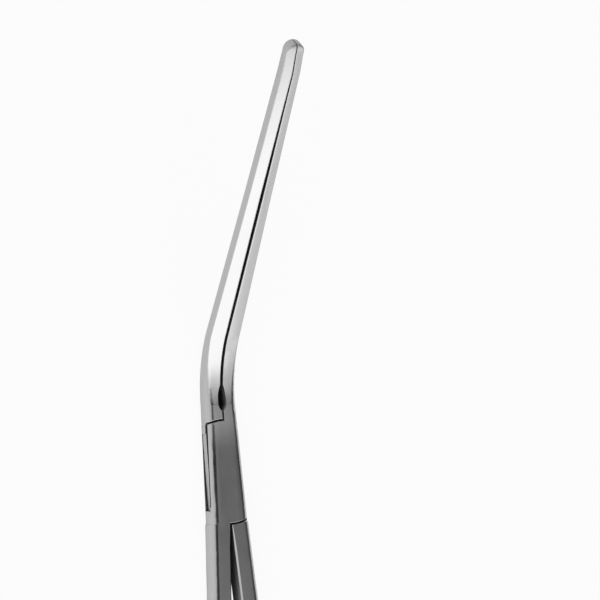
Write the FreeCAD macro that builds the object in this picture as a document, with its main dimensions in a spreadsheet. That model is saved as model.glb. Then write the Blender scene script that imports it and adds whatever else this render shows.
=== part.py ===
import FreeCAD, Part
import Sketcher
import math
import os

# Bulldog clamp with a box lock and ring handles, in stainless steel.
# Millimetres. The pivot axis is Z and the clamp lies flat on z = 0, under the pivot.
# The jaws point along +Y and lean up towards +Z, and the finger rings lie along -Y.
# Two halves cross in the lock. The female half has the right jaw, the two cheeks and
# the left shank. The male half has the left jaw, the tongue and the right shank.

# Driving sizes

SIZES = [
    # The lock: a flat block with rounded sides, a little wider below
    ("thickness", 2.4),
    ("lock_width_top", 4.5),
    ("lock_width_bottom", 5.5),
    ("round_width", 1.05),
    ("round_depth", 1.1),
    ("shoulder_radius", 6.4),
    ("shoulder_gap", 0.26),
    ("seam_gap", 0.24),
    # The tongue inside the lock, and the pin that it turns on
    ("tongue_radius", 5.4),
    ("tongue_width", 4.5),
    ("tongue_thickness", 1.0),
    ("tongue_end_gap", 0.06),
    ("tongue_side_gap", 0.14),
    ("pin_diameter", 2.2),
    ("pin_running_gap", 0.05),
    # The teardrop relief between the jaws, just above the lock
    ("relief_width", 1.15),
    ("relief_foot", 7.6),
    ("relief_belly", 8.8),
    ("relief_top", 10.9),
    ("relief_foot_radius", 1.38),
    ("relief_top_radius", 4.6),
    # The bend that carries the jaws up out of the plane of the handles
    ("bend_angle", 33.8),
    ("bend_corner", 13.3),
    ("bend_radius", 16.0),
    ("crown_start", 0.012),
    ("crown_flatness", 2.5),
    # The jaws, measured from the corner of the bend to the tips
    ("jaw_length", 47.2),
    ("jaw_heel_width", 2.1),
    ("jaw_middle_width", 1.64),
    ("jaw_tip_width", 1.3),
    ("jaw_heel_height", 1.95),
    ("jaw_tip_height", 2.0),
    ("jaw_heel_side_share", 0.58),
    ("jaw_tip_side_share", 0.45),
    ("jaw_heel_round", 0.1),
    ("jaw_tip_round", 0.22),
    ("jaw_heel_gap", 0.42),
    ("jaw_middle_gap", 0.46),
    ("jaw_tip_gap", 0.14),
    # The rounded end of a jaw: its front slopes a little, then the section draws in
    ("tip_slope_run", 2.6),
    ("nose_height", 1.65),
    ("nose_end_share", 0.75),
    ("nose_round_share", 0.4),
    ("nose_side_share", 0.6),
    # The gripping strip: one serrated rail that lies between two
    ("tooth_pitch", 0.6),
    ("tooth_depth", 0.2),
    ("tooth_land", 0.024),
    ("tooth_overcut", 0.02),
    ("strip_height", 1.3),
    ("strip_heel_margin", 4.0),
    ("strip_tip_margin", 1.6),
    ("groove_height", 0.6),
    ("rail_reach", 0.34),
    ("rail_side_gap", 0.08),
    ("rail_end_gap", 0.15),
    # The shanks
    ("shank_width", 2.75),
    ("shank_bevel", 0.2),
    ("bevel_run", 3.2),
    # The ratchet arms
    ("arm_place", 47.0),
    ("arm_breadth", 3.8),
    ("arm_thickness", 0.95),
    ("arm_tip_gap", 0.4),
    ("catch_pitch", 0.8),
    ("catch_rise", 0.56),
    ("catch_height", 0.4),
    ("catch_margin", 0.15),
    # The oval finger rings
    ("ring_place", 65.2),
    ("ring_offset", 14.3),
    ("ring_width_inside", 18.4),
    ("ring_length_inside", 21.6),
    ("ring_wall", 2.8),
    ("ring_thickness", 2.6),
    ("ring_crown", 0.42),
    ("ring_end_radius", 9.2),
    ("join_angle", 25.0),
    ("web_angle", 62.0),
    ("web_thickness", 1.9),
    ("web_radius", 7.0),
    ("web_reach", 3.5),
    # How far a cutting outline passes the face that it leaves by
    ("cut_margin", 0.6),
]

CATCH_TEETH = 3
BEND_STEPS = 4
NOSE_TURNS = (0, 30, 55, 75)


class Size:
    """A size that keeps its formula for the document beside its present value."""

    def __init__(self, text, value):
        self.text = text
        self.value = value

    def __add__(self, other):
        other = as_size(other)
        return Size("(%s + %s)" % (self.text, other.text), self.value + other.value)

    def __sub__(self, other):
        other = as_size(other)
        return Size("(%s - %s)" % (self.text, other.text), self.value - other.value)

    def __mul__(self, other):
        other = as_size(other)
        return Size("(%s * %s)" % (self.text, other.text), self.value * other.value)

    def __truediv__(self, other):
        other = as_size(other)
        return Size("(%s / %s)" % (self.text, other.text), self.value / other.value)

    def __neg__(self):
        return Size("(-1 * %s)" % self.text, -self.value)

    def __radd__(self, other):
        return as_size(other) + self

    def __rsub__(self, other):
        return as_size(other) - self

    def __rmul__(self, other):
        return as_size(other) * self


def as_size(number):
    if isinstance(number, Size):
        return number
    return Size("%.9g" % number, float(number))


def sine(angle):
    return Size("sin(%s)" % angle.text, math.sin(math.radians(angle.value)))


def cosine(angle):
    return Size("cos(%s)" % angle.text, math.cos(math.radians(angle.value)))


def tangent(angle):
    return Size("tan(%s)" % angle.text, math.tan(math.radians(angle.value)))


def root(number):
    return Size("sqrt(%s)" % number.text, math.sqrt(number.value))


# The document and its sheet of sizes

doc = FreeCAD.newDocument("bulldog_clamp")
sheet = doc.addObject("Spreadsheet::Sheet", "sizes")
S = {}
for row, (alias, number) in enumerate(SIZES, start=1):
    sheet.set("A%d" % row, alias)
    sheet.set("B%d" % row, str(number))
    sheet.setAlias("B%d" % row, alias)
    S[alias] = Size("sizes.%s" % alias, float(number))
doc.recompute()

# Lines and levels that several pieces share

HALF = S["thickness"] / 2
SEAM = S["seam_gap"] / 2
PIN_RADIUS = S["pin_diameter"] / 2
BEND_REACH = S["bend_radius"] * tangent(S["bend_angle"] / 2)
BEND_START = S["bend_corner"] - BEND_REACH
BEND_CENTRE = HALF + S["bend_radius"]
JAW_RUN = S["jaw_length"] - BEND_REACH - S["jaw_tip_width"]
STRIP_START = S["strip_heel_margin"]
STRIP_LENGTH = JAW_RUN - S["strip_heel_margin"] - S["strip_tip_margin"]
RING_A = (S["ring_width_inside"] + S["ring_wall"]) / 2
RING_B = (S["ring_length_inside"] + S["ring_wall"]) / 2
RING_LEVEL = S["ring_thickness"] / 2


def bound(thing, path, size):
    thing.setExpression(path, size.text)


def plane(body, role):
    for feature in body.Origin.OriginFeatures:
        if feature.Role == role:
            return feature
    raise RuntimeError("no origin plane " + role)


def placed(sketch, shift, tilt):
    """Moves a sketch off its plane by three sizes and turns it about its own X axis."""
    turn = FreeCAD.Rotation(FreeCAD.Vector(1, 0, 0), tilt.value)
    base = FreeCAD.Vector(shift[0].value, shift[1].value, shift[2].value)
    sketch.AttachmentOffset = FreeCAD.Placement(base, turn)
    for axis, amount in zip("xyz", shift):
        bound(sketch, "AttachmentOffset.Base." + axis, amount)
    bound(sketch, "AttachmentOffset.Rotation.Angle", tilt)


def sketch_on(body, name, role, shift=None, tilt=None):
    sketch = body.newObject("Sketcher::SketchObject", name)
    sketch.AttachmentSupport = [(plane(body, role), "")]
    sketch.MapMode = "FlatFace"
    if shift is not None:
        zero = as_size(0)
        placed(sketch, [as_size(amount) for amount in shift], tilt or zero)
    return sketch


def arc_between(start, end, radius, bulge):
    """An arc from start to end that bulges to the left (+1) or right (-1) of the way."""
    way = end.sub(start)
    half = way.Length / 2
    rise = math.sqrt(max(radius * radius - half * half, 0.0))
    left = FreeCAD.Vector(-way.y, way.x, 0).normalize()
    middle = (start + end) * 0.5
    centre = middle - left * (rise * bulge)
    first = math.atan2(start.y - centre.y, start.x - centre.x)
    last = math.atan2(end.y - centre.y, end.x - centre.x)
    circle = Part.Circle(centre, FreeCAD.Vector(0, 0, 1), radius)
    if bulge > 0:
        return Part.ArcOfCircle(circle, last, first), (2, 1)
    return Part.ArcOfCircle(circle, first, last), (1, 2)


def outline(sketch, corners):
    """Draws a closed outline. A corner with a radius and a bulge starts an arc."""
    corners = [tuple(as_size(part) for part in corner[:3]) + tuple(corner[3:]) for corner in corners]
    points = [FreeCAD.Vector(corner[0].value, corner[1].value, 0) for corner in corners]
    start = sketch.GeometryCount
    ends = []
    for index, corner in enumerate(corners):
        here = points[index]
        there = points[(index + 1) % len(points)]
        if len(corner) == 2:
            sketch.addGeometry(Part.LineSegment(here, there), False)
            ends.append((1, 2))
        else:
            arc, order = arc_between(here, there, corner[2].value, corner[3])
            sketch.addGeometry(arc, False)
            ends.append(order)
    for index, corner in enumerate(corners):
        edge = start + index
        after = start + (index + 1) % len(corners)
        following = ends[(index + 1) % len(corners)]
        sketch.addConstraint(
            Sketcher.Constraint("Coincident", edge, ends[index][1], after, following[0]))
        for kind, size in zip(("DistanceX", "DistanceY"), corner[:2]):
            at = sketch.addConstraint(
                Sketcher.Constraint(kind, -1, 1, edge, ends[index][0], size.value))
            bound(sketch, "Constraints[%d]" % at, size)
        if len(corner) > 2:
            at = sketch.addConstraint(Sketcher.Constraint("Radius", edge, corner[2].value))
            bound(sketch, "Constraints[%d]" % at, corner[2])
    return sketch


def circle(sketch, across, along, radius):
    ring = Part.Circle(
        FreeCAD.Vector(across.value, along.value, 0), FreeCAD.Vector(0, 0, 1), radius.value)
    edge = sketch.addGeometry(ring, False)
    for kind, size in (("DistanceX", across), ("DistanceY", along)):
        at = sketch.addConstraint(Sketcher.Constraint(kind, -1, 1, edge, 3, size.value))
        bound(sketch, "Constraints[%d]" % at, size)
    at = sketch.addConstraint(Sketcher.Constraint("Radius", edge, radius.value))
    bound(sketch, "Constraints[%d]" % at, radius)
    return sketch


def body_volume(body):
    if body.Shape.isNull():
        return 0.0
    return body.Shape.Volume


def grown(body, before, feature):
    """Stops the build if a feature that adds material has added none."""
    doc.recompute()
    if body_volume(body) <= before + 1e-4:
        raise RuntimeError(feature.Name + " adds nothing")
    return feature


def shrunk(body, before, feature):
    """Stops the build if a feature that takes material away has taken none."""
    doc.recompute()
    if body_volume(body) >= before - 1e-4:
        raise RuntimeError(feature.Name + " cuts nothing")
    return feature


def pad(body, name, sketch, length):
    """Adds a slab with the sketch at the middle of its thickness."""
    before = body_volume(body)
    feature = body.newObject("PartDesign::Pad", name)
    feature.Profile = sketch
    feature.Midplane = True
    bound(feature, "Length", length)
    return grown(body, before, feature)


def pocket(body, name, sketch, length=None):
    """Cuts to both sides of the sketch, by a length in all or right through."""
    before = body_volume(body)
    feature = body.newObject("PartDesign::Pocket", name)
    feature.Profile = sketch
    feature.Midplane = True
    if length is None:
        feature.Type = "ThroughAll"
    else:
        bound(feature, "Length", length)
    return shrunk(body, before, feature)


def loft(body, name, sections, ruled):
    before = body_volume(body)
    feature = body.newObject("PartDesign::AdditiveLoft", name)
    feature.Profile = sections[0]
    feature.Sections = sections[1:]
    feature.Ruled = ruled
    return grown(body, before, feature)


# Places along the shanks and the jaws

def shank_middle(along):
    """How far the middle line of a shank is from X = 0, at a distance below the pivot."""
    first = SEAM + S["shank_width"] / 2
    last = S["ring_offset"] - RING_A * cosine(S["join_angle"])
    slope = (last - first) / (SHANK_END - S["shoulder_radius"])
    return first + slope * (along - S["shoulder_radius"])


SHANK_END = S["ring_place"] - RING_B * sine(S["join_angle"])


def jaw_place(run, drop=0):
    """A point at a run along a jaw's middle line, or dropped from it towards the back."""
    reach = BEND_REACH + run
    turn = S["bend_angle"]
    along = S["bend_corner"] + reach * cosine(turn) + drop * sine(turn)
    return along, HALF + reach * sine(turn) - drop * cosine(turn)


def blend(first, last, share):
    """The value at a share of the way from the first size to the last."""
    return first * (1 - share) + last * share


def rounding(width, depth):
    """The radius of an arc over that width and depth that meets the side squarely."""
    return (width * width + depth * depth) / (width * 2)


def lock_section(body, name, along, wide):
    """The flat section of the lock with its rounded sides, across both halves."""
    sketch = sketch_on(body, name, "XZ_Plane", (0, HALF, -along))
    flat = wide - S["round_width"]
    side = HALF - S["round_depth"]
    bow = rounding(S["round_width"], S["round_depth"])
    corners = [(-flat, -HALF), (flat, -HALF, bow, -1), (wide, -side), (wide, side, bow, -1)]
    corners += [(flat, HALF), (-flat, HALF, bow, -1), (-wide, side), (-wide, -side, bow, -1)]
    return outline(sketch, corners)


def shank_section(body, name, side, along, inner):
    """A section of one shank: rounded outside, with a plain bevel on its inner edges."""
    sketch = sketch_on(body, name, "XZ_Plane", (0, HALF, along))
    near = (shank_middle(along) - S["shank_width"] / 2) * side
    far = (shank_middle(along) + S["shank_width"] / 2) * side
    bow = rounding(S["round_width"], S["round_depth"])
    rim = far - S["round_width"] * side
    drop = HALF - S["round_depth"]
    lean = HALF - inner
    edge = near + inner * side
    corners = [(edge, -HALF), (rim, -HALF, bow, -side), (far, -drop)]
    corners += [(far, drop, bow, -side), (rim, HALF), (edge, HALF), (near, lean), (near, -lean)]
    return outline(sketch, corners)


def jaw_section(body, name, side, place, tilt, size):
    """A jaw's section: flat gripping side, bowed slopes front and back, flat outer band."""
    gap, wide, height, rounded, share = size
    sketch = sketch_on(body, name, "XZ_Plane", (0, place[1], -place[0]), tilt)
    crest = height / 2
    band = crest * share
    step = rounded * S["round_depth"] / S["round_width"]
    edge = band + step
    span = wide - rounded - gap
    fall = crest - edge
    crown = rounding(fall, span) * S["crown_flatness"]
    bow = rounding(rounded, step)
    near = gap * side
    rim = (wide - rounded) * side
    far = wide * side
    corners = [(near, -crest, crown, -side), (rim, -edge, bow, -side), (far, -band)]
    corners += [(far, band, bow, -side), (rim, edge, crown, -side), (near, crest)]
    return outline(sketch, corners)


# The two halves. Side is +1 for the female half, whose jaw is on the right, and -1 for
# the male half. Each shank is on the other side from its jaw.

def add_blank(body, side):
    """The lock's block and the shank below it."""
    top = lock_section(body, "lock_top", BEND_START, S["lock_width_top"] / 2)
    foot = lock_section(body, "lock_foot", -S["shoulder_radius"], S["lock_width_bottom"] / 2)
    loft(body, "lock", [top, foot], True)
    thin = SEAM / 2
    even = S["shoulder_radius"] + S["bevel_run"]
    first = shank_section(body, "shank_first", -side, S["shoulder_radius"], thin)
    second = shank_section(body, "shank_second", -side, even, S["shank_bevel"])
    last = shank_section(body, "shank_last", -side, SHANK_END, S["shank_bevel"])
    loft(body, "shank", [first, second, last], True)


def cut_away(body, name, side, radius):
    """Clears the corners of the lock where the other half's shoulders are."""
    reach = S["lock_width_bottom"] / 2 + S["cut_margin"]
    high = BEND_START + S["cut_margin"]
    near = root(radius * radius - SEAM * SEAM)
    low = root(radius * radius - reach * reach)
    for label, turn in (("upper", 1), ("lower", -1)):
        sketch = sketch_on(body, name + "_" + label + "_plan", "XY_Plane")
        edge = side * turn
        corners = [(SEAM * edge, high * turn), (SEAM * edge, near * turn, radius, -side)]
        corners += [(-reach * edge, low * turn), (-reach * edge, high * turn)]
        outline(sketch, corners)
        pocket(body, name + "_" + label, sketch)


def cut_cavity(body, side):
    """The slot between the cheeks, which the tongue fills and its two necks pass through."""
    radius = S["tongue_radius"] + S["tongue_end_gap"]
    reach = S["lock_width_bottom"] / 2 + S["cut_margin"]
    high = S["shoulder_radius"] + S["cut_margin"]
    near = root(radius * radius - SEAM * SEAM)
    low = root(radius * radius - reach * reach)
    corners = []
    for turn in (1, -1):
        edge = side * turn
        corners += [(-reach * edge, high * turn), (SEAM * edge, high * turn)]
        corners += [(SEAM * edge, near * turn, radius, side), (reach * edge, low * turn)]
    sketch = sketch_on(body, "cavity_plan", "XY_Plane", (0, 0, HALF))
    outline(sketch, corners)
    pocket(body, "cavity", sketch, S["tongue_thickness"] + S["tongue_side_gap"] * 2)


def cut_tongue(body):
    """Thins the middle to the tongue and narrows it between the necks."""
    radius = S["shoulder_radius"] + S["shoulder_gap"]
    lift = (S["tongue_thickness"] + S["thickness"]) / 2
    for label, level in (("front", HALF + lift), ("rear", HALF - lift)):
        sketch = sketch_on(body, label + "_face_plan", "XY_Plane", (0, 0, level))
        circle(sketch, as_size(0), as_size(0), radius)
        pocket(body, label + "_face", sketch, S["thickness"])
    half = S["tongue_width"] / 2
    reach = S["lock_width_bottom"]
    end = root(S["tongue_radius"] * S["tongue_radius"] - half * half)
    for label, turn in (("left", -1), ("right", 1)):
        sketch = sketch_on(body, label + "_waist_plan", "XY_Plane")
        corners = [(half * turn, -end), (reach * turn, -end), (reach * turn, end)]
        corners += [(half * turn, end)]
        outline(sketch, corners)
        pocket(body, label + "_waist", sketch)


def cut_pin_hole(body, radius):
    sketch = sketch_on(body, "pin_hole_plan", "XY_Plane")
    circle(sketch, as_size(0), as_size(0), radius)
    pocket(body, "pin_hole", sketch)


def bend_sections(body, side):
    """Sections round the bend, where the bevel fades and the crown grows."""
    sections = []
    for step in range(BEND_STEPS + 1):
        share = step / BEND_STEPS
        angle = S["bend_angle"] * share
        place = (BEND_START + S["bend_radius"] * sine(angle),
                 BEND_CENTRE - S["bend_radius"] * cosine(angle))
        wide = blend(S["lock_width_top"] / 2, S["jaw_heel_width"], share)
        height = blend(S["thickness"], S["jaw_heel_height"], share)
        rounded = blend(S["round_width"], S["jaw_heel_round"], share)
        flank = (HALF - S["round_depth"] - S["crown_start"]) / HALF
        band = blend(flank, S["jaw_heel_side_share"], share)
        size = (S["jaw_heel_gap"] / 2, wide, height, rounded, band)
        sections.append(jaw_section(body, "bend_%d" % step, side, place, angle, size))
    return sections


def along_jaw(what, share):
    """A gap or width at a share of the run, from those at the heel, middle and tip."""
    if share.value <= 0.5:
        return blend(S["jaw_heel_" + what], S["jaw_middle_" + what], share * 2)
    return blend(S["jaw_middle_" + what], S["jaw_tip_" + what], share * 2 - 1)


def straight_section(body, name, side, share):
    """A section of the straight part of a jaw, at a share of its run."""
    gap = along_jaw("gap", share) / 2
    wide = along_jaw("width", share)
    height = blend(S["jaw_heel_height"], S["jaw_tip_height"], share)
    rounded = blend(S["jaw_heel_round"], S["jaw_tip_round"], share)
    band = blend(S["jaw_heel_side_share"], S["jaw_tip_side_share"], share)
    size = (gap, wide, height, rounded, band)
    return jaw_section(body, name, side, jaw_place(JAW_RUN * share), S["bend_angle"], size)


def nose_section(body, name, side, turn):
    """A section of the jaw's end, at a turn along a quarter circle in width."""
    gap = S["jaw_tip_gap"] / 2
    radius = S["jaw_tip_width"] - gap
    rise = math.sin(math.radians(turn))
    left = math.cos(math.radians(turn))
    wide = gap + radius * left
    height = S["nose_height"] * blend(S["nose_end_share"], as_size(1), left)
    rounded = blend(S["jaw_tip_round"], wide * S["nose_round_share"], rise)
    band = blend(S["jaw_tip_side_share"], S["nose_side_share"], rise)
    drop = (S["jaw_tip_height"] - height) / 2
    size = (gap, wide, height, rounded, band)
    place = jaw_place(JAW_RUN + radius * rise, drop)
    return jaw_section(body, name, side, place, S["bend_angle"], size)


def add_jaw(body, side):
    """The bend, the straight jaw and its rounded end."""
    loft(body, "bend", bend_sections(body, side), False)
    sections = []
    slope = 1 - S["tip_slope_run"] / JAW_RUN
    for part, share in (("heel", as_size(0)), ("middle", as_size(0.5)), ("slope", slope)):
        sections.append(straight_section(body, "jaw_" + part, side, share))
    sections.append(nose_section(body, "jaw_end", side, 0))
    loft(body, "jaw", sections, True)
    turns = [nose_section(body, "nose_%d" % turn, side, turn) for turn in NOSE_TURNS]
    loft(body, "nose", turns, False)


def cut_relief(body, side):
    """One side of the teardrop between the jaws."""
    belly = S["relief_width"] / 2 * side
    top = S["jaw_heel_gap"] / 2 * side
    back = -S["relief_width"] / 2 * side
    corners = [(SEAM * side, S["relief_foot"], S["relief_foot_radius"], -side)]
    corners += [(belly, S["relief_belly"], S["relief_top_radius"], -side)]
    corners += [(top, S["relief_top"])]
    corners += [(back, S["relief_top"]), (back, S["relief_foot"])]
    sketch = sketch_on(body, "relief_plan", "XY_Plane")
    outline(sketch, corners)
    pocket(body, "relief", sketch)


def strip_sketch(body, name):
    """A sketch across the jaw at the middle of the gripping strip."""
    place = jaw_place(STRIP_START + STRIP_LENGTH / 2)
    return sketch_on(body, name, "XZ_Plane", (0, place[1], -place[0]), S["bend_angle"])


def box_corners(left, right, low, high):
    return [(left, low), (right, low), (right, high), (left, high)]


def cut_notches(body, side, crest, root_depth):
    """Cuts the first notch of the strip and repeats it along the jaw."""
    place = jaw_place(STRIP_START + S["tooth_pitch"] / 2)
    sketch = sketch_on(
        body, "notch_plan", "XY_Plane", (0, place[0], place[1]), S["bend_angle"])
    half = (S["tooth_pitch"] - S["tooth_land"]) / 2
    corners = [(crest, -half), (root_depth, as_size(0)), (crest, half)]
    outline(sketch, corners)
    first = pocket(body, "notch", sketch, S["strip_height"])
    before = body_volume(body)
    count = int(STRIP_LENGTH.value / S["tooth_pitch"].value)
    rows = body.newObject("PartDesign::LinearPattern", "notches")
    rows.Originals = [first]
    rows.Direction = (sketch, ["V_Axis"])
    bound(rows, "Length", S["tooth_pitch"] * (count - 1))
    rows.Occurrences = count
    body.Tip = rows
    shrunk(body, before, rows)


def add_grip(body, side):
    """The female jaw has a groove between two serrated rails, the male one rail."""
    crest = S["rail_reach"] * side
    deep = (S["rail_reach"] + S["rail_end_gap"]) * side
    if side > 0:
        sketch = strip_sketch(body, "groove_plan")
        half = S["groove_height"] / 2
        outline(sketch, box_corners(-deep, deep, -half, half))
        pocket(body, "groove", sketch, STRIP_LENGTH)
        cut_notches(body, side, as_size(0), deep - S["tooth_overcut"])
    else:
        sketch = strip_sketch(body, "rail_plan")
        half = S["groove_height"] / 2 - S["rail_side_gap"]
        inside = -S["jaw_tip_width"] / 2
        outline(sketch, box_corners(inside, -crest, -half, half))
        pad(body, "rail", sketch, STRIP_LENGTH - S["rail_end_gap"] * 2)
        cut_notches(body, side, S["tooth_overcut"] - crest, -crest - S["tooth_depth"])


def ring_path(middle):
    """The ring's middle line: an oval of tangent arcs, from its top to the left and round."""
    small = S["ring_end_radius"]
    drop = RING_B - small
    large = (RING_A * RING_A - small * small + drop * drop) / ((RING_A - small) * 2)
    across = small * (large - RING_A) / (large - small)
    along = drop + small * drop / (large - small)
    centre = -S["ring_place"]
    corners = [(middle, centre + RING_B, small, -1)]
    corners += [(middle - across, centre + along, large, -1)]
    corners += [(middle - across, centre - along, small, -1)]
    corners += [(middle + across, centre - along, large, -1)]
    corners += [(middle + across, centre + along, small, -1)]
    return corners


def add_ring(body, side):
    """An oval finger ring, flat above and below and crowned inside and out."""
    middle = S["ring_offset"] * -side
    path = sketch_on(body, "ring_path", "XY_Plane", (0, 0, RING_LEVEL))
    corners = ring_path(middle)
    outline(path, corners)
    section = sketch_on(body, "ring_section", "YZ_Plane", (0, RING_LEVEL, middle))
    at = RING_B - S["ring_place"]
    flat = S["ring_wall"] / 2 - S["ring_crown"]
    high = RING_LEVEL
    crown = (high * high + S["ring_crown"] * S["ring_crown"]) / (S["ring_crown"] * 2)
    outline(section, [(at - flat, -high), (at + flat, -high, crown, -1), (at + flat, high),
                      (at - flat, high, crown, -1)])
    before = body_volume(body)
    ring = body.newObject("PartDesign::AdditivePipe", "ring")
    ring.Profile = section
    ring.Spine = (path, ["Edge%d" % (index + 1) for index in range(len(corners))])
    grown(body, before, ring)


def add_web(body, side):
    """Fills the crotch between the shank and its ring with a hollow curve."""
    outer = S["shank_width"] / 2 - S["shank_bevel"]
    start = S["ring_place"] - RING_B - S["web_reach"]
    first = (shank_middle(start) + outer) * -side
    across = (S["ring_offset"] - RING_A * cosine(S["web_angle"])) * -side
    along = S["ring_place"] - RING_B * sine(S["web_angle"])
    inside = shank_middle(SHANK_END) * -side
    corners = [(first, -start, S["web_radius"], side), (across, -along)]
    corners += [(inside, -SHANK_END), (shank_middle(start) * -side, -start)]
    sketch = sketch_on(body, "web_plan", "XY_Plane", (0, 0, HALF))
    outline(sketch, corners)
    pad(body, "web", sketch, S["web_thickness"])


def add_arm(body, side):
    """A ratchet arm with its row of slanted catches, low on the female half."""
    thick = S["arm_thickness"]
    level = thick / 2
    face = thick
    crest = thick + S["catch_height"]
    if side < 0:
        level = S["thickness"] - level
        face = S["thickness"] - face
        crest = S["thickness"] - crest
    tip = S["arm_tip_gap"] / 2 * -side
    far = shank_middle(S["arm_place"]) * -side
    half = S["arm_breadth"] / 2
    sketch = sketch_on(body, "arm_plan", "XY_Plane", (0, 0, level))
    outline(sketch, box_corners(tip, far, -S["arm_place"] - half, half - S["arm_place"]))
    pad(body, "arm", sketch, thick)
    heel = (level + face) / 2
    at = S["arm_tip_gap"] / 2 + S["catch_margin"]
    corners = [(at * -side, heel)]
    for _ in range(CATCH_TEETH):
        corners += [(at * -side, face), ((at + S["catch_rise"]) * -side, crest)]
        at = at + S["catch_pitch"]
    corners += [(at * -side, face), (at * -side, heel)]
    teeth = sketch_on(body, "catch_plan", "XZ_Plane", (0, 0, S["arm_place"]))
    outline(teeth, corners)
    pad(body, "catches", teeth, S["arm_breadth"])


def make_half(name, side):
    """One half of the clamp, from its jaw's tip to its finger ring."""
    body = doc.addObject("PartDesign::Body", name)
    body.Label = name
    doc.recompute()
    add_blank(body, side)
    add_jaw(body, side)
    cut_relief(body, side)
    if side > 0:
        cut_away(body, "corner", side, S["shoulder_radius"])
        cut_cavity(body, side)
        cut_pin_hole(body, PIN_RADIUS)
    else:
        cut_away(body, "corner", side, S["tongue_radius"])
        cut_tongue(body)
        cut_pin_hole(body, PIN_RADIUS + S["pin_running_gap"])
    add_grip(body, side)
    add_ring(body, side)
    add_web(body, side)
    add_arm(body, side)
    return body


def make_pin(name):
    """The pivot pin, ground flush with both cheeks."""
    pin = doc.addObject("Part::Cylinder", name)
    pin.Label = name
    bound(pin, "Radius", PIN_RADIUS)
    bound(pin, "Height", S["thickness"])
    return pin


pieces = [
    make_half("female_half", 1),
    make_half("male_half", -1),
    make_pin("pivot_pin"),
]
doc.recompute()

for thing in doc.Objects:
    if "Invalid" in thing.State or "Error" in thing.State:
        raise RuntimeError(thing.Name + " did not build")
for piece in pieces:
    shape = piece.Shape
    if shape.isNull() or not shape.isValid() or len(shape.Solids) != 1:
        raise RuntimeError(piece.Label + " is not one sound solid")

os.makedirs("parts", exist_ok=True)
for piece in pieces:
    piece.Shape.exportStep("parts/%s.step" % piece.Label)
    print(piece.Label, round(piece.Shape.Volume, 3), piece.Shape.BoundBox)
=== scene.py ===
# %% [markdown]
# # A bulldog clamp in satin steel
# The clamp has three real pieces: two forged halves that cross in a box lock, and
# the pin that they turn on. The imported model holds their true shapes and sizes.
# This file loads it, gives the steel its finish, and lights and frames the clamp.

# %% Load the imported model
import math
import bpy
import numpy as np
from mathutils import Matrix, Vector


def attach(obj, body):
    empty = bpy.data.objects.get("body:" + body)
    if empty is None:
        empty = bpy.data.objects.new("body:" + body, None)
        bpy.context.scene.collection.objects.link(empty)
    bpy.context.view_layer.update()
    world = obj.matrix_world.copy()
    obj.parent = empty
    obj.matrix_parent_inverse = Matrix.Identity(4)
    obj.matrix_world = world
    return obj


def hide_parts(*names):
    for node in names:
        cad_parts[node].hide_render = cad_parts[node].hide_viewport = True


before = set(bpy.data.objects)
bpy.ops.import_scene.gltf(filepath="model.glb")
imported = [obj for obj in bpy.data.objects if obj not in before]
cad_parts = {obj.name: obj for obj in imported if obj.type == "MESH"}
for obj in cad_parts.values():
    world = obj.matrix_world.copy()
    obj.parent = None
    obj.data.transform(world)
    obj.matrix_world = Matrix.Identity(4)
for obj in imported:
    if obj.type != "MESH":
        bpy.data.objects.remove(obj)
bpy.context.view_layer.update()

# %% [markdown]
# ## Where the camera stands
# The photographer looked down on the flat of the clamp, from the side of the left
# jaw. A long lens keeps the two jaws nearly parallel, as they are in the picture.
# The camera's right and up directions come first, and its place follows from them.
# The middle of the picture is measured from the middle of the lock in those two.

# %% Aim the camera
MM = 0.001
YAW = math.radians(30.0)
ROLL = math.radians(4.3)
SPAN = 75 * MM
DISTANCE = 2.0
SENSOR = 36
MIDDLE_HEIGHT = 1.2 * MM
AIM_RIGHT = 9.65 * MM
AIM_UP = 21.5 * MM
NEAREST, FARTHEST = 0.1, 20

sideways = Vector((math.cos(YAW), 0, math.sin(YAW)))
lengthways = Vector((0, 1, 0))
right = sideways * math.cos(ROLL) - lengthways * math.sin(ROLL)
up = lengthways * math.cos(ROLL) + sideways * math.sin(ROLL)
back = right.cross(up)
lock_centre = Vector((0, 0, MIDDLE_HEIGHT))
target = lock_centre + right * AIM_RIGHT + up * AIM_UP

camera_data = bpy.data.cameras.new("camera")
camera_data.sensor_width = SENSOR
camera_data.lens = SENSOR * DISTANCE / SPAN
camera_data.clip_start = NEAREST
camera_data.clip_end = FARTHEST
camera = bpy.data.objects.new("camera", camera_data)
bpy.context.scene.collection.objects.link(camera)
camera.matrix_world = Matrix.Translation(target + back * DISTANCE) @ Matrix(
    (right, up, back)).transposed().to_4x4()
bpy.context.scene.camera = camera
print("lens", round(camera_data.lens), "mm, aimed at", [round(v, 4) for v in target])

# %% [markdown]
# ## Smooth steel on true shapes
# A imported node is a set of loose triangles. A merged copy of it can carry smooth
# normals, so that the rings, the bend and the crowned jaws reflect without facets,
# while the ground edges of the lock stay sharp. The broad flats lead the smoothing:
# a normal follows the largest face beside it, so a flat stays flat up to its edge.

# %% Copy, merge and smooth the forged pieces
SHARP = math.radians(24)
SAME_PLACE = 2e-7
FLAT_WEIGHT = 50


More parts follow.
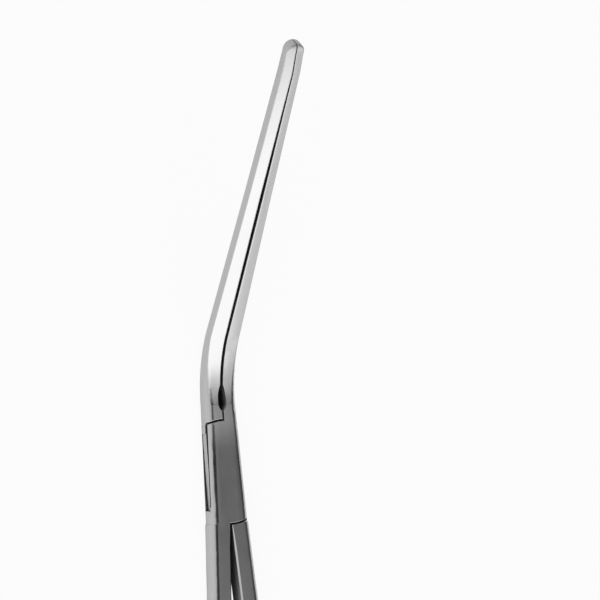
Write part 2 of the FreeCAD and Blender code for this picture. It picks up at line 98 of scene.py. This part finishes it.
def smooth_copy(node, name):
    """The node's triangles with equal corners joined, smooth except across sharp edges.

    Corners that round to the same multiple of SAME_PLACE become one, and a triangle
    with two equal corners is left out.
    """
    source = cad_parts[node].data
    places = np.empty(len(source.vertices) * 3, np.float32)
    source.vertices.foreach_get("co", places)
    places = places.reshape(-1, 3).astype(np.float64)
    faces = np.empty(len(source.loops), np.int32)
    source.loops.foreach_get("vertex_index", faces)
    keys = np.round(places / SAME_PLACE).astype(np.int64)
    _, first, joined = np.unique(keys, axis=0, return_index=True, return_inverse=True)
    joined = joined.reshape(-1)[faces].reshape(-1, 3)
    whole = (joined[:, 0] != joined[:, 1]) & (joined[:, 1] != joined[:, 2])
    whole &= joined[:, 0] != joined[:, 2]
    mesh = bpy.data.meshes.new(name)
    mesh.from_pydata(places[first].tolist(), [], joined[whole].tolist())
    mesh.update()
    mesh.shade_smooth()
    mesh.set_sharp_from_angle(angle=SHARP)
    piece = bpy.data.objects.new(name, mesh)
    bpy.context.scene.collection.objects.link(piece)
    weigh = piece.modifiers.new("flats_lead", "WEIGHTED_NORMAL")
    weigh.mode = "FACE_AREA"
    weigh.weight = FLAT_WEIGHT
    weigh.keep_sharp = True
    print(name, len(mesh.vertices), "vertices", len(mesh.polygons), "triangles")
    return piece


PIECES = {
    "female_half": smooth_copy("female_half", "female_half_steel"),
    "male_half": smooth_copy("male_half", "male_half_steel"),
    "pivot_pin": smooth_copy("pivot_pin", "pivot_pin_steel"),
}

# %% [markdown]
# ## Start the satin steel
# A material is a network of small nodes, and most of them only pass a number or a
# direction on. The helpers make one node in one line: an input that is another
# node's output is linked, and any other is set. The steel itself is one metal
# shader for all three pieces. Every pattern on it starts from two things: the place
# on the clamp, and the direction in which the true surface faces there.

# %% Start the steel from place and direction
def add(tree, kind, inputs=None, **settings):
    """A new node of a kind, with its settings made and its inputs linked or set."""
    node = tree.nodes.new("ShaderNode" + kind)
    for key, value in settings.items():
        setattr(node, key, value)
    for key, value in (inputs or {}).items():
        if isinstance(value, bpy.types.NodeSocket):
            tree.links.new(value, node.inputs[key])
        else:
            node.inputs[key].default_value = value
    return node


def parts(tree, vector):
    """A vector's X, Y and Z, each as a socket."""
    split = add(tree, "SeparateXYZ", {"Vector": vector})
    return split.outputs["X"], split.outputs["Y"], split.outputs["Z"]


steel = bpy.data.materials.new("satin_steel")
steel.use_nodes = True
tree = steel.node_tree
shader = tree.nodes["Principled BSDF"]
shader.inputs["Metallic"].default_value = 1
place = add(tree, "TexCoord").outputs["Object"]
true_normal = add(tree, "NewGeometry").outputs["Normal"]
_, place_y, place_z = parts(tree, place)
facing_x, _, facing_z = parts(tree, true_normal)
print("started", steel.name, "with", len(tree.nodes), "nodes")

# %% [markdown]
# ## Painted shade in the clefts and seams
# Narrow clefts, such as the drop above the lock, hold no light, so shade is painted
# into the steel's colour deep inside them. Ambient occlusion finds them, because it
# tells how much open space a point sees. The faces that lie on the floor are left out
# of that, and keep their colour. The shadow of the two long seams beside the tongue is
# painted too, as dark lines on the sides, at one height above and below the lock's middle.

# %% Paint shade into the clefts and the seams
STEEL_COLOUR = (0.66, 0.66, 0.665, 1)
PAINTED_SHADE_COLOUR = (0.02, 0.02, 0.02, 1)
CLEFT_REACH = 3 * MM
CLEFT_SAMPLES = 8
CLEFT_DEEP, CLEFT_OPEN = 0.15, 0.6
LIES_ON_FLOOR = -0.9
SEAM_HEIGHT = 0.57 * MM
SEAM_HALF_WIDTH = 0.16 * MM
SEAM_MIDDLE = 0.88 * MM
SEAM_HALF_LENGTH = 5.18 * MM
SIDE_TOLERANCE = 0.4


def maths(tree, operation, *values):
    """A Math node's result, from sockets or plain numbers."""
    return add(tree, "Math", dict(enumerate(values)), operation=operation).outputs["Value"]


def ramp(tree, value, start, end, low=0.0, high=1.0, run="LINEAR"):
    """Low up to the start, high past the end, and a straight or smooth run between."""
    inputs = {"Value": value, "From Min": start, "From Max": end, "To Min": low, "To Max": high}
    return add(tree, "MapRange", inputs, interpolation_type=run).outputs["Result"]


# Painted shade: the base colour darkens where ambient occlusion finds little open space.
space = add(tree, "AmbientOcclusion", {"Distance": CLEFT_REACH}, samples=CLEFT_SAMPLES)
in_open = ramp(tree, space.outputs["AO"], CLEFT_DEEP, CLEFT_OPEN)
on_floor = maths(tree, "LESS_THAN", facing_z, LIES_ON_FLOOR)
from_middle = maths(tree, "ABSOLUTE", maths(tree, "SUBTRACT", place_z, MIDDLE_HEIGHT))
seam_height = maths(tree, "COMPARE", from_middle, SEAM_HEIGHT, SEAM_HALF_WIDTH)
seam_length = maths(tree, "COMPARE", place_y, SEAM_MIDDLE, SEAM_HALF_LENGTH)
on_side = maths(tree, "COMPARE", maths(tree, "ABSOLUTE", facing_x), 1.0, SIDE_TOLERANCE)
# Painted shade: dark lines on the sides, drawn where the seams' shadow falls.
painted_seam_shade = maths(tree, "MULTIPLY", seam_height, maths(tree, "MULTIPLY", seam_length, on_side))
# 1 on open steel, 0 where shade is painted, deep in a cleft or on a seam.
beyond_painted_shade = maths(tree, "MINIMUM", maths(tree, "MAXIMUM", in_open, on_floor),
             maths(tree, "SUBTRACT", 1.0, painted_seam_shade))
# The base colour: the steel's own colour, turned to the painted shade colour where the mask is
# 0.
tone = add(tree, "Mix", {"Factor": beyond_painted_shade, "A": PAINTED_SHADE_COLOUR, "B": STEEL_COLOUR},
           data_type="RGBA")
tree.links.new(tone.outputs["Result"], shader.inputs["Base Color"])
print("seams", round(2 * SEAM_HALF_LENGTH / MM, 2), "mm long")

# %% [markdown]
# ## Satin sheen
# The clamp is glass-bead satin finished, so it is neither a mirror nor matt, and a
# little uneven. A soft noise moves the roughness up and down around one value. The
# jaws turn matt towards their blunt ends, and the clefts with painted shade are rough
# too, or they would still mirror the floor at a low angle. The roughest of these wins.

# %% Set the roughness
ROUGHNESS = 0.21
SMOOTHEST, ROUGHEST = 0.85, 1.2
CLOUDS_PER_METRE = 220
CLOUD_DETAIL = 4
CLOUD_LOW, CLOUD_HIGH = 0.3, 0.7
JAW_MATT_START = 26 * MM
JAW_END = 52 * MM
END_ROUGHNESS = 0.6

clouds = add(tree, "TexNoise", {"Vector": place, "Scale": CLOUDS_PER_METRE,
                                "Detail": CLOUD_DETAIL})
sheen = ramp(tree, clouds.outputs["Fac"], CLOUD_LOW, CLOUD_HIGH,
             ROUGHNESS * SMOOTHEST, ROUGHNESS * ROUGHEST)
matt_end = ramp(tree, place_y, JAW_MATT_START, JAW_END, 0.0, END_ROUGHNESS)
dull = maths(tree, "MAXIMUM", maths(tree, "SUBTRACT", 1.0, beyond_painted_shade), matt_end)
tree.links.new(maths(tree, "MAXIMUM", sheen, dull), shader.inputs["Roughness"])
print("roughness", ROUGHNESS, "rising to", END_ROUGHNESS, "at the jaws' ends")

# %% [markdown]
# ## Soft edges
# No real edge is a knife edge. A small rounding of the normals lets each one catch a
# thin line of light, with no change to the shape. The jaws, polished softer, have a
# wider one. The pin is ground flush and should hardly show, so a disc around its
# axis keeps the true normals.

# %% Round the edges
EDGE_RADIUS = 0.08 * MM
JAW_EDGE_RADIUS = 0.22 * MM
JAW_START = 14 * MM
JAW_WIDENED = 20 * MM
EDGE_SAMPLES = 6
PIN_RADIUS = 1.1 * MM
PIN_ROOM = PIN_RADIUS + EDGE_RADIUS * 2
LEVEL = (1, 1, 0)


def vectors(tree, operation, output, *values):
    """A Vector Math node's output of a name, from sockets or plain vectors."""
    node = add(tree, "VectorMath", dict(enumerate(values)), operation=operation)
    return node.outputs[output]


edge_radius = ramp(tree, place_y, JAW_START, JAW_WIDENED, EDGE_RADIUS, JAW_EDGE_RADIUS)
rounding = add(tree, "Bevel", {"Radius": edge_radius}, samples=EDGE_SAMPLES)
from_axis = vectors(tree, "LENGTH", "Value", vectors(tree, "MULTIPLY", "Vector", place, LEVEL))
beyond_pin = maths(tree, "GREATER_THAN", from_axis, PIN_ROOM)
rounded = add(tree, "Mix", {"Factor": beyond_pin, "A": true_normal,
                            "B": rounding.outputs["Normal"]}, data_type="VECTOR")
print("edges rounded by", round(EDGE_RADIUS / MM, 2), "mm, on the jaws by",
      round(JAW_EDGE_RADIUS / MM, 2), "mm")

# %% [markdown]
# ## A lean before the bend
# The grinding wheel leans the flat back a little before the bend begins, so the light
# there grows slowly instead of at one line. The normal gets a small step towards the
# handles and is made one long again. The step grows from the start of the lean, stays
# up to where the bend starts, and is gone once the bend itself has taken over. Only
# faces that look up have it.

# %% Lean the flat back
LEAN = -0.06
LEAN_START = 3 * MM
LEAN_WHOLE = 6.5 * MM
BEND_START = 8.4 * MM
BEND_WHOLE = 12 * MM
LOOKS_UP = 0.7

rising = ramp(tree, place_y, LEAN_START, LEAN_WHOLE, 0.0, LEAN)
fading = ramp(tree, place_y, BEND_START, BEND_WHOLE, 1.0, 0.0)
upward = maths(tree, "GREATER_THAN", facing_z, LOOKS_UP)
step = maths(tree, "MULTIPLY", maths(tree, "MULTIPLY", rising, fading), upward)
towards_handles = add(tree, "CombineXYZ", {"Y": step}).outputs["Vector"]
longer = vectors(tree, "ADD", "Vector", rounded.outputs["Result"], towards_handles)
leaned = vectors(tree, "NORMALIZE", "Vector", longer)
print("normals lean by", LEAN, "up to", round(BEND_START / MM, 1), "mm past the pin")

# %% [markdown]
# ## Grinding lines
# The steel is ground along its length before it is blasted, and the lines still show.
# Noise that is fine across the clamp and long along it gives them, as a bump of a few
# thousandths of a millimetre.

# %% Grind along the length
LINES_PER_METRE = (9000, 500, 9000)
LINE_DETAIL = 3
LINE_STRENGTH = 0.35
LINE_DEPTH = 0.004 * MM

stretch = add(tree, "Mapping", {"Vector": place, "Scale": LINES_PER_METRE})
lines = add(tree, "TexNoise", {"Vector": stretch.outputs["Vector"], "Scale": 1.0,
                               "Detail": LINE_DETAIL})
bump = add(tree, "Bump", {"Strength": LINE_STRENGTH, "Distance": LINE_DEPTH,
                          "Height": lines.outputs["Fac"], "Normal": leaned})
tree.links.new(bump.outputs["Normal"], shader.inputs["Normal"])
print("ground with", LINES_PER_METRE[0], "lines a metre across")

# %% [markdown]
# ## Dress the pieces
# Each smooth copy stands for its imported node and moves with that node's body. The pin
# is fixed in the cheeks, so it moves with the female half.

# %% Put the steel on the pieces
for node, piece in PIECES.items():
    piece.data.materials.append(steel)
    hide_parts(node)
    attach(piece, "male_half" if node == "male_half" else "female_half")
print("finished", len(PIECES), "pieces in", steel.name)

# %% [markdown]
# ## The floor
# The clamp lies on plain white paper. What the camera sees of it, and a little of what
# the steel reflects, comes from a glow of its own, so the background is white with
# no more light on the clamp, and the rest is a plain matte that takes the shadow. The
# paper lies a hair below the clamp, and can't be seen from underneath.

# %% Lay the floor
FLOOR_LEVEL = -0.02 * MM
FLOOR_HALF = 6.0
PAPER = 0.8
CAMERA_GLOW = 0.93
REFLECTED_GLOW = 0.3


def grey(level):
    """One level for red, green and blue, and a whole alpha."""
    return (level, level, level, 1)


def floor_mesh(name, half):
    """A square of four corners, each half a side from the middle along both axes."""
    grid = np.array([(-1, -1), (1, -1), (1, 1), (-1, 1)]) * half
    corners = [(x, y, FLOOR_LEVEL) for x, y in grid.tolist()]
    mesh = bpy.data.meshes.new(name)
    mesh.from_pydata(corners, [], [(0, 1, 2, 3)])
    return mesh


floor = bpy.data.objects.new("floor", floor_mesh("floor", FLOOR_HALF))
bpy.context.scene.collection.objects.link(floor)
paper = bpy.data.materials.new("white_paper")
paper.use_nodes = True
tree = paper.node_tree
tree.nodes.clear()
matte = add(tree, "BsdfDiffuse", {"Color": grey(PAPER)})
glow = add(tree, "Emission", {"Color": grey(1)})
ray = add(tree, "LightPath")
seen = maths(tree, "MULTIPLY", ray.outputs["Is Camera Ray"], CAMERA_GLOW)
share = maths(tree, "MULTIPLY_ADD", ray.outputs["Is Glossy Ray"], REFLECTED_GLOW, seen)
top = add(tree, "MixShader", {"Fac": share, 1: matte.outputs["BSDF"],
                              2: glow.outputs["Emission"]})
side = add(tree, "NewGeometry")
clear = add(tree, "BsdfTransparent")
one_way = add(tree, "MixShader", {"Fac": side.outputs["Backfacing"],
                                  1: top.outputs["Shader"], 2: clear.outputs["BSDF"]})
add(tree, "OutputMaterial", {"Surface": one_way.outputs["Shader"]})
floor.data.materials.append(paper)
print("floor", floor.dimensions[:])

# %% [markdown]
# ## The studio
# Polished metal shows little but its surroundings. The room is white behind the
# handles and low on the left, where the raised jaws and the sides of the steel look.
# A dark flag hangs over the right side, and the flat of the lock reflects it. Two
# black strips, overhead and low on the right, draw the dark lines along the edges.
# Each of these is a soft round patch of the sky, laid over the ones before it. Last
# comes a low white wall all round the room, so that the floor has no visible end.

# %% Hang the white room and the dark flag
ROOM = 0.6
PATCHES = [  # grey level, direction, and the angles where it starts to fade and ends
    (1.45, (-0.02, -0.88, 0.46), 28, 56),
    (0.72, (-0.9, 0.0, 0.42), 12, 30),
    (0.07, (0.55, 0.42, 0.73), 22, 39),
    (0.01, (-0.035, 0.1, 1.0), 17, 22.5),
    (0.05, (0.94, 0.1, 0.34), 18, 30),
]
LOW_WALL = 0.97
WALL_FADES, WALL_WHOLE = 0.08, 0.04

world = bpy.data.worlds.new("studio")
world.use_nodes = True
bpy.context.scene.world = world
tree = world.node_tree
way = add(tree, "TexCoord").outputs["Generated"]


def patch(direction, inner, outer):
    """1 within the inner angle of a direction, falling smoothly to 0 at the outer one."""
    middle = Vector(direction).normalized()
    near = vectors(tree, "DOT_PRODUCT", "Value", way, middle)
    start, end = math.cos(math.radians(outer)), math.cos(math.radians(inner))
    return ramp(tree, near, start, end, run="SMOOTHSTEP")


def shaded(below, level, where):
    """The sky so far, turned to one grey where the patch is 1."""
    blend = add(tree, "Mix", {"Factor": where, "A": below, "B": grey(level)},
                data_type="RGBA")
    return blend.outputs["Result"]


sky = grey(ROOM)
for level, direction, inner, outer in PATCHES:
    sky = shaded(sky, level, patch(direction, inner, outer))
_, _, way_up = parts(tree, way)
sky = shaded(sky, LOW_WALL, ramp(tree, way_up, WALL_FADES, WALL_WHOLE))
tree.links.new(sky, tree.nodes["Background"].inputs["Color"])
bpy.context.scene.view_settings.view_transform = "Standard"
print("studio of", len(PATCHES), "patches and a low wall")

# %% [markdown]
# ## The lamp
# A room of light alone leaves the clamp floating on the paper. One soft disc from the
# left gives it a faint shadow to stand on. The steel doesn't mirror the disc, so it
# adds no bright spot.

# %% Add one soft lamp for the shadow
LAMP_SIZE = 0.6
LAMP_POWER = 3
LAMP_PLACE = (-0.8, -0.5, 0.45)

lamp_data = bpy.data.lights.new("soft_lamp", "AREA")
lamp_data.shape = "DISK"
lamp_data.size = LAMP_SIZE
lamp_data.energy = LAMP_POWER
lamp = bpy.data.objects.new("soft_lamp", lamp_data)
bpy.context.scene.collection.objects.link(lamp)
lamp.location = LAMP_PLACE
lamp.visible_glossy = False
lamp.rotation_mode = "QUATERNION"
lamp.rotation_quaternion = (lamp.location - lock_centre).to_track_quat("Z", "Y")
print("lamp", LAMP_POWER, "W at", LAMP_PLACE)
